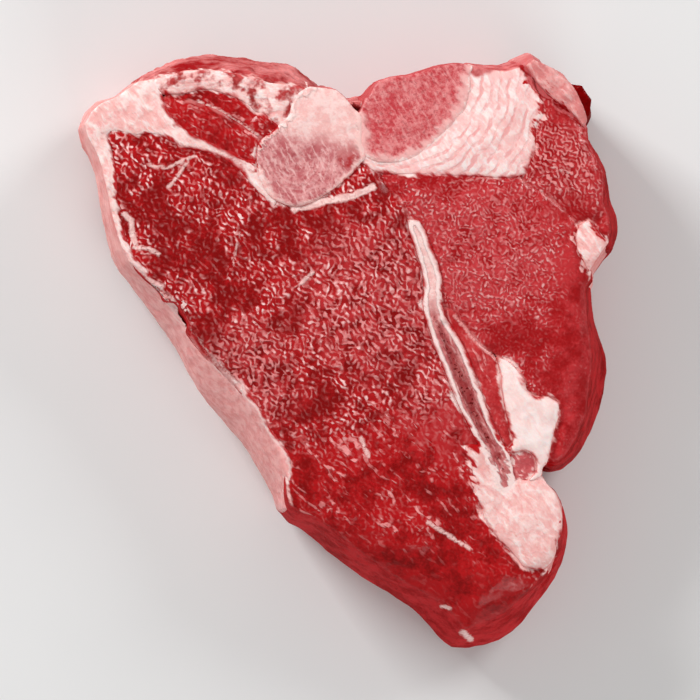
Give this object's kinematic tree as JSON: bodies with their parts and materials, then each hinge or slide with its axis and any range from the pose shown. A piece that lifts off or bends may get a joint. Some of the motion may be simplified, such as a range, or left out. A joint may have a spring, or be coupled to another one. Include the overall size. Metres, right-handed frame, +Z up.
{
  "type": "raw lamb loin chop",
  "caption": "Thick slice of raw lamb loin sawn square across the backbone, with the eye muscle, tenderloin, bone and a rim of fat.",
  "frame": {"origin": "middle of the chop's box, on the lower saw face that it rests on", "axes": "+Z up, square to the saw faces; +Y towards the backbone; -X towards the fat cap and +X towards the tenderloin"},
  "size_m": [0.087, 0.096, 0.0262],
  "materials": {
    "muscle": "wet raw meat",
    "fat": "cream pink, moist",
    "white_fat": "near white, moist",
    "bone": "sawn and damp",
    "marrow_bone": "sawn, red and damp",
    "sinew": "thin and wet"
  },
  "bodies": {
    "root": {"finger_bone": "bone", "arch_bone": "bone", "vertebra_body": "marrow_bone", "chine_fat": "white_fat", "fascia_flap": "sinew", "edge_scrap": "muscle", "back_sinew": "sinew", "fat_cap": "fat", "back_fat": "fat", "small_back_muscle": "muscle", "back_muscle": "muscle", "flank_bud": "muscle", "kidney_fat": "white_fat", "flank_fat": "fat", "side_fat": "fat", "side_muscle": "muscle", "loin_strip": "muscle", "tenderloin": "muscle", "loin_eye": "muscle"}
  },
  "joints": []
}
